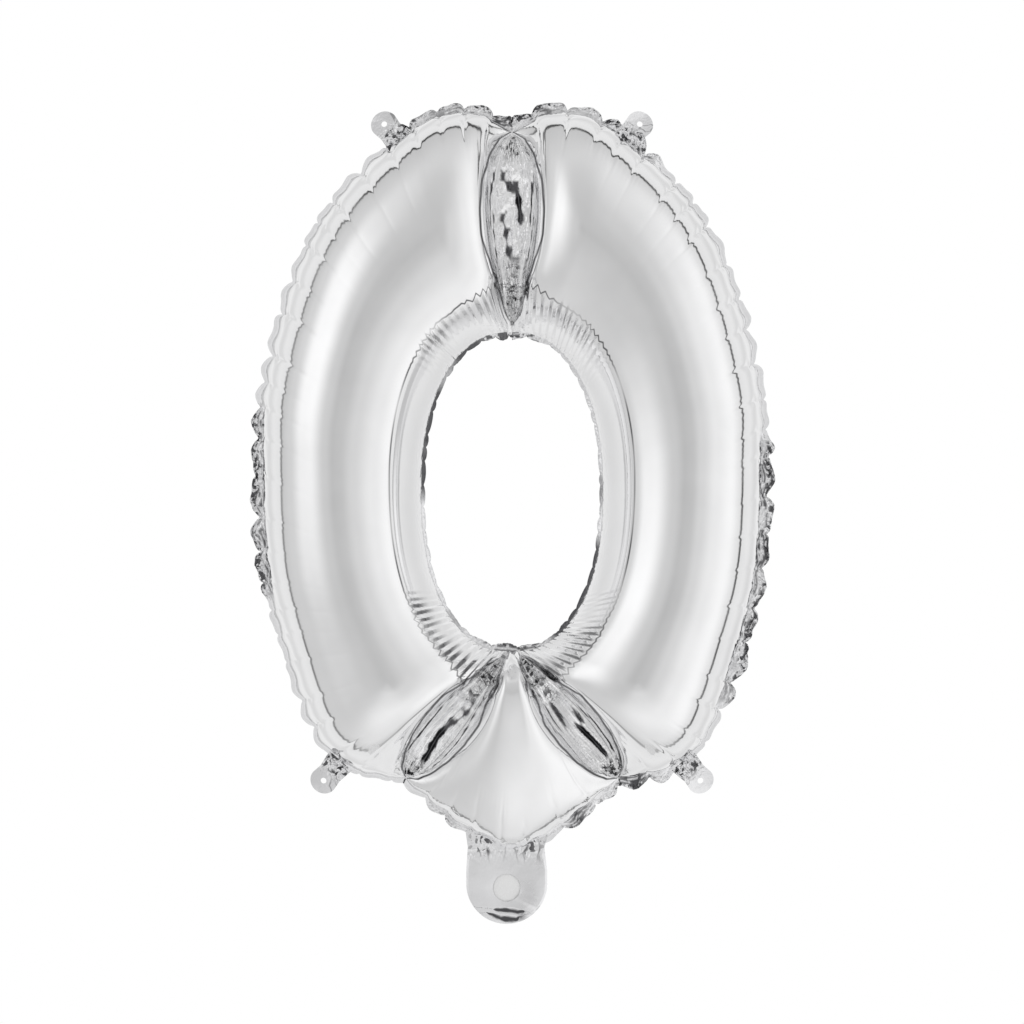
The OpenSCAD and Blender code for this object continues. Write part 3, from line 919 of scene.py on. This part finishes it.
def island_grid(sheet, a, b, rows, seed):
    """Film of one sheet inside a dart's weld, between the two columns a and b that meet there."""
    edge_a = four_times(film.x[sheet, a, rows])
    edge_b = four_times(film.x[sheet, b, rows])
    share = four_times(row_f[rows])
    m = 41
    t = np.linspace(0, 1, m)
    grid = edge_a[:, None] * (1 - t)[None, :, None] + edge_b[:, None] * t[None, :, None]
    s = lengths(edge_a)
    edge = clamp(np.sin(np.pi * t))
    lifted = np.minimum(1, 4 * edge)
    across = np.linalg.norm(edge_b - edge_a, axis=1)
    size = clamp(across / 10)
    streaks = pleats(12 * t, (0.7, 1.5), seed + 3)
    bridge = np.exp(-((share - BRIDGE_AT) / BRIDGE_REACH) ** 4)
    middle = clamp(np.minimum(share - FOLDED[0], FOLDED[1] - share) / 0.10)
    shade = np.zeros((len(s), m))
    u = across[:, None] * (t - 0.5)[None]
    v = s[:, None] + 0.5 * np.abs(u)
    broad = 2.4 * wrinkle(u + 0.12 * v, 0.36 * v, 2.1, seed, octaves=3)
    for k in range(m):
        ripple = folds(s, (0.9, 2.2), seed + 40 + k)
        centre = min(1, 1.5 * edge[k]) * middle
        grid[:, k, 1] += size * (1.5 * broad[:, k] * centre + 0.4 * streaks[k] * lifted[k] * (1 - centre)
                                 + 0.8 * ripple * lifted[k] * (1 - middle) * (1 - 0.8 * bridge))
        # painted shade: dark flanks of the folds, dark grains where the weld is crumpled, and thin dark lines
        # down its sides
        away = np.clip((broad[:, k] + 0.10) * 3.2, 0, 0.93) * clamp(2.5 * centre - 0.9)
        painted_grain_shade = np.clip((ripple - 0.1) * 3, 0, 0.85) * (1 - middle) * clamp(2.2 * edge[k] - 0.6)
        painted_grain_shade *= 1 - 0.35 * bridge
        line = 0.50 * (streaks[k] < -0.55) * (1 - clamp(2 * centre)) * clamp(middle * 2)
        shade[:, k] = size * np.maximum(np.maximum(away, painted_grain_shade), line)
    grid[:, :, 1] += (0.15 if sheet else -0.15) * lifted[None] * size[:, None]
    mark = np.maximum((1.0 - 0.85 * middle)[:, None] * clamp(0.3 + edge)[None],
                      0.42 * bell(edge, 0.45, 0.25)[None])
    mark *= 1 - 0.4 * bridge[:, None]
    return grid, mark, shade


def dart_piece(name, node, a, b, seed):
    """Both films of one dart's weld, which lies between the columns a and b."""
    rows = np.where(welded)[0]
    rows = slice(max(rows[0] - 1, 0), rows[-1] + 2)
    grids, marks, shades = zip(*(island_grid(sheet, a, b, rows, seed) for sheet in (0, 1)))
    piece = make_mesh(name, grids, "balloon", dart_foil, flips=[False, True],
                      marks={"crumple": marks, "shade": shades}, merge=0.005)
    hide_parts(node)


dart_piece("top_dart", "top_dart_seal", len(shape) - 1, 0, 300)
dart_piece("right_dart", "right_dart_seal", SIDE, SIDE + 1, 330)
dart_piece("left_dart", "left_dart_seal", SIDE + LOW + 1, SIDE + LOW + 2, 360)


# ---- flat films with a hole: the tail and the tabs ----

def ring_plate(outline, centre, hole_r, n, m):
    """Grid of points from a round hole out to a closed outline, ray by ray."""
    closed = np.vstack([outline, outline[:1]])
    s = lengths(closed)
    dense = np.stack([np.interp(np.linspace(0, s[-1], 2400), s, closed[:, i]) for i in (0, 1)], 1)
    rel = dense - centre
    angle = np.arctan2(rel[:, 1], rel[:, 0])
    order = np.argsort(angle)
    ray = np.linspace(-np.pi, np.pi, n, endpoint=False)
    reach = np.interp(ray, angle[order], np.linalg.norm(rel, axis=1)[order], period=2 * np.pi)
    t = np.linspace(0, 1, m + 1)
    r = hole_r + (reach[:, None] - hole_r) * t[None]
    return centre + r[..., None] * np.stack([np.cos(ray), np.sin(ray)], 1)[:, None]


def tail_outline():
    """Outline of the tail in the weld plane: round below, slightly waisted at the neck."""
    r = (tail_high[0] - tail_low[0]) / 2
    bottom = tail_low[2]
    turn = np.linspace(0, -np.pi, 61)
    arc = np.stack([TAIL_X + r * np.cos(turn), bottom + r + r * np.sin(turn)], 1)
    top = DIGIT_Z - 164 * K
    waist = DIGIT_Z - 172 * K
    rise = [[TAIL_X - r, bottom + r + 6], [TAIL_X - 0.96 * r, waist], [TAIL_X - 1.02 * r, top]]
    fall = [[TAIL_X + 1.05 * r, top], [TAIL_X + 0.93 * r, waist], [TAIL_X + r, bottom + r + 6]]
    return np.vstack([arc, rise, fall])


JOINTS = {j["name"]: j for j in frame["record"]["behaviour"]["joints"]}
MOUNTS = {m["name"]: np.array(m["pos_m"]) / MM for m in frame["record"]["mounts"]}
FOLD_Z = JOINTS["tail_fold"]["pos_m"][2] / MM
INLET_R = 6.5  # radius of the hole in the front film
TAIL_GAP = 0.4  # least distance of each tail film from the weld plane
VALVE_GAP = 0.85  # the same above the fold, where the valve's flaps swing
GATHER_HEIGHT = 7.0  # height of the gathers at the neck


def dent_band(dz, middle, width):
    """1 along the middle of a crease across the tail, falling to 0 at its width."""
    return 1 - np.abs(dz - middle) / (width + 0.05)


def tail_piece(name, node, side, hole_r, seed):
    """One film of the tail. side is -1 for the front film and 1 for the rear one."""
    inlet = MOUNTS["inflation_inlet"][[0, 2]]
    plan = ring_plate(tail_outline(), inlet, hole_r, 360, 64)
    x, z = plan[..., 0], plan[..., 1]
    t = np.linspace(0, 1, plan.shape[1])[None] * np.ones(x.shape)
    gathered = clamp((z - (FOLD_Z - 5.5)) / GATHER_HEIGHT) ** 1.3
    pillow = 0.45 + 0.55 * np.sin(np.pi * t) ** 0.8
    fine = wrinkle(x, z, 6.5, seed) * 0.16 + wrinkle(x, z, 2.4, seed + 1) * 0.05
    puffs = 0.45 + 0.55 * bell(np.abs(x - TAIL_X), 10.5, 6.0)
    crumple = (wrinkle(x, z, 1.9, seed + 2) * 1.5 + wrinkle(x, z, 0.9, seed + 3) * 0.7) * puffs

    # the folded lower end: two creases, one above the other, dented into the film and darkened with painted
    # shade, and a painted dark patch beside them
    dx = x - TAIL_X + 1.2 * wrinkle(x, z, 1.6, seed + 7)
    dz = z - tail_low[2] + 0.9 * wrinkle(x * 0.5, z, 1.5, seed + 9)
    upper = dent_band(dz, 6.3 - 0.10 * dx, 1.3 * clamp(1 - ((dx - 1) / 7.5) ** 4))
    lower = dent_band(dz, np.interp(dx, [-10, -3, 4, 8], [5.2, 2.6, 1.8, 4.4]),
                      1.5 * clamp(1 - ((dx + 1.5) / 8.5) ** 4) * np.interp(dx, [-9, 3], [0.5, 1.3]))
    dent = clamp(np.maximum(upper, lower))
    patch = np.exp(-((dx - 6.5) / 3.5) ** 2 - ((dz - 3.6) / 2.2) ** 2)
    diagonal = np.exp(-((x - TAIL_X) * 0.5 + (z - tail_low[2] - 15)) ** 2 / 2.5) * (x > TAIL_X + 2)

    y = side * (pillow + fine + crumple * gathered - 0.9 * dent + 0.35 * diagonal)
    y = side * np.maximum(side * y, TAIL_GAP)
    edge = clamp((t - 0.93) / 0.07) * (z < FOLD_Z)
    y = y * (1 - 0.85 * edge)
    y = np.where(z > FOLD_Z + 1.5, side * np.maximum(np.abs(y), VALVE_GAP), y)
    grid = np.stack([x, y, z], -1)
    mark = clamp(0.10 + 0.65 * gathered * puffs)

    # painted shade: dark along the two creases, on the patch beside them, and on the ridges of the gathers
    streak = wrinkle(x, z, 3.2, seed + 5)
    shade = np.clip((1.9 + 1.5 * streak) * dent - 0.1, 0, 0.92)
    shade = np.maximum(shade, np.clip(patch * (0.45 + 1.2 * streak), 0, 0.7))
    # faint dark diagonal streaks away from the middle, at most 0.3
    faint_dark_streaks = np.clip((wrinkle(x * 0.5, z * 1.6, 7.0, seed + 8) - 0.30) * 2.5, 0, 0.30)
    shade = np.maximum(shade, faint_dark_streaks * clamp((np.abs(x - TAIL_X) - 3) / 8))
    ridges = wrinkle(x + 5.0 * wrinkle(x, z, 3.0, seed + 11), z * 0.45, 2.6, seed + 6)
    shade = np.maximum(shade, gathered * puffs * np.clip((ridges - 0.08) * 5, 0, 0.9))
    piece = make_mesh(name, [grid], None, tail_foil, flips=[side > 0],
                      marks={"crumple": [mark], "shade": [shade]}, wrap=True)
    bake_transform(piece)
    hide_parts(node)


tail_piece("tail_front", "tail_front_film", -1, INLET_R, 400)
tail_piece("tail_rear", "tail_rear_film", 1, 0.0, 420)

TAB_R = 7.0
EYELET_R = 1.5
TAB_FOOT = ((-6.4, 1.5), (-6.8, -2.0), (-7.4, -6.5), (7.6, -6.5), (7.0, -2.0), (6.3, 1.5))
TAB_SLOPE = 0.55  # how far a tab leans back, per mm away from the rim
TAB_FORESHORTENED = (0.92, 0.87)  # its width and length in the weld plane, for that reason


def tab_piece(name, seed):
    """A rounded ear with a thread hole, crinkled where it leaves the margin."""
    root = np.array(JOINTS[name + "_fold"]["pos_m"]) / MM
    eyelet = MOUNTS[name + "_eyelet"]
    out = (eyelet - root) / np.linalg.norm(eyelet - root)
    across = np.array([out[2], 0, -out[0]])
    reach = np.linalg.norm(eyelet - root)
    turn = np.linspace(0, np.pi, 41)
    cap = np.stack([TAB_R * np.cos(turn), reach + TAB_R * np.sin(turn)], 1)
    plan = ring_plate(np.vstack([cap, TAB_FOOT]), np.array([0.0, reach]), EYELET_R, 200, 36)
    u, w = plan[..., 0], plan[..., 1]
    low_half = clamp((5.0 - w) / 8.0)
    y = -0.3 + 0.55 * wrinkle(u, w, 5.0, seed) + TAB_SLOPE * np.clip(w, 0, None)
    y = y + low_half * (1.0 * wrinkle(u, w, 1.7, seed + 1) + 0.5 * wrinkle(u, w, 0.8, seed + 2))
    bow = 0.9 * ((u / TAB_R) ** 2 - 0.4) * clamp(w / 10)
    narrower, shorter = TAB_FORESHORTENED
    grid = root + across * (u * narrower)[..., None] + out * np.where(w > 0, shorter * w, w)[..., None]
    grid[..., 1] += y + bow * (1 if seed % 2 else -1)
    mark = clamp(0.1 + low_half)
    # painted shade: dark crumples in the lower half
    shade = low_half * np.clip((wrinkle(u, w, 2.2, seed + 4) - 0.08) * 6, 0, 0.9)
    # thin dark lines further out from the margin
    lines = np.clip(1 - np.abs(wrinkle(u, w, 6.0, seed + 9) - 0.1) / 0.05, 0, 0.5)
    shade = np.maximum(shade, lines * clamp(w / 6))
    piece = make_mesh(name + "_film", [grid], None, seal_foil,
                      marks={"crumple": [mark], "shade": [shade]}, wrap=True)
    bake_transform(piece)
    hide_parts(name)


for k, tab in enumerate(("top_left_tab", "top_right_tab", "bottom_left_tab", "bottom_right_tab")):
    tab_piece(tab, 501 + 11 * k)

for node in ("valve_front_sleeve", "valve_rear_sleeve", "valve_front_flap", "valve_rear_flap"):
    mesh = frame["nodes"][node].data
    mesh.materials.clear()
    mesh.materials.append(clear_film)


# ---- light, floor and finish ----

# The studio as panels round the balloon: direction in the picture plane, how narrow the panel is, the
# brightness of the gap at its back edge, and its own brightness against the angle, which goes from
# straight in front (0) to straight behind (1). All share the parts IN_FRONT and BEHIND.
PANELS = (
    ((-0.97, 0.24), 5.0, 0.30, ((0.035, 0.54), (0.10, 0.66), (0.22, 1.10), (0.29, 1.08), (0.40, 0.72),
                                (0.485, 0.62))),
    ((-0.80, -0.60), 3.0, 0.22, ((0.08, 0.60), (0.20, 0.62), (0.35, 0.64), (0.485, 0.66))),
    ((0.0, -1.0), 3.0, 0.45, ((0.04, 0.66), (0.10, 0.78), (0.25, 0.92), (0.42, 0.82), (0.485, 0.70))),
    ((1.0, 0.0), 1.2, 0.12, ((0.04, 0.58), (0.12, 0.72), (0.24, 0.90), (0.38, 1.02), (0.485, 0.84))),
    ((0.0, 1.0), 1.5, 0.03, ((0.06, 0.59), (0.16, 0.61), (0.30, 0.70), (0.485, 0.60))),
)
IN_FRONT = ((0.0, 0.56),)
BEHIND = ((0.52, 0.84), (0.60, 0.87), (0.69, 0.76), (0.78, 0.90), (0.87, 0.82), (0.95, 0.60),
          (1.0, 0.55))
GAP, GAP_HALF = 0.505, 0.006  # the angle of the gap's middle, and half its width


def make_world():
    """A white tent round the balloon, with a dimmer front and a different panel on each side."""
    world = bpy.data.worlds.new("studio")
    bpy.context.scene.world = world
    world.use_nodes = True
    tree = world.node_tree
    direction = add(tree, "TexCoord", {}).outputs["Generated"]
    x, y, z = add(tree, "SeparateXYZ", {"Vector": direction}).outputs
    angle = calc(tree, "DIVIDE", calc(tree, "ARCCOSINE", calc(tree, "MULTIPLY", y, -1.0)), math.pi)
    sideways = calc(tree, "ADD", calc(tree, "MULTIPLY", x, x), calc(tree, "MULTIPLY", z, z))
    sideways = calc(tree, "SQRT", calc(tree, "MAXIMUM", sideways, 1e-6))
    total = weights = 0.0
    for (ax, az), narrow, gap, own in PANELS:
        part = calc(tree, "ADD", calc(tree, "MULTIPLY", x, ax), calc(tree, "MULTIPLY", z, az))
        part = calc(tree, "DIVIDE", calc(tree, "MAXIMUM", part, 0.0), sideways)
        weight = calc(tree, "ADD", calc(tree, "POWER", part, 2 * narrow), 0.001)
        stops = IN_FRONT + own + ((GAP - GAP_HALF, gap), (GAP + GAP_HALF, gap)) + BEHIND
        lit = calc(tree, "MULTIPLY", ramp(tree, angle, stops, "EASE"), weight)
        total = calc(tree, "ADD", total, lit)
        weights = calc(tree, "ADD", weights, weight)
    total = calc(tree, "DIVIDE", total, weights)
    grey = add(tree, "CombineColor", {0: total, 1: total, 2: total}).outputs["Color"]
    seen = add(tree, "LightPath", {}).outputs["Is Camera Ray"]
    mix = add(tree, "Mix", {"Factor": seen, "A": grey, "B": (1.0, 1.0, 1.0, 1)}, data_type="RGBA")
    tree.links.new(mix.outputs["Result"], tree.nodes["Background"].inputs["Color"])


def make_stage():
    """A pale round floor, well below the tail, as the balloon hangs in the air."""
    corners = 96
    radius = 0.4
    z = cad_bounds[0][2] - 3.0
    turns = [2 * math.pi * i / corners for i in range(corners)]
    ring = [(radius * math.cos(turn), radius * math.sin(turn), z) for turn in turns]
    mesh = bpy.data.meshes.new("floor")
    mesh.from_pydata(ring, [], [list(range(corners))])
    mat, _, shader = new_material("floor")
    shader.inputs["Base Color"].default_value = (0.93, 0.93, 0.93, 1)
    shader.inputs["Roughness"].default_value = 0.7
    mesh.materials.append(mat)
    obj = bpy.data.objects.new("floor", mesh)
    bpy.context.collection.objects.link(obj)


make_world()
make_stage()
bpy.context.scene.view_settings.view_transform = "Standard"
bpy.context.scene.view_settings.look = "None"
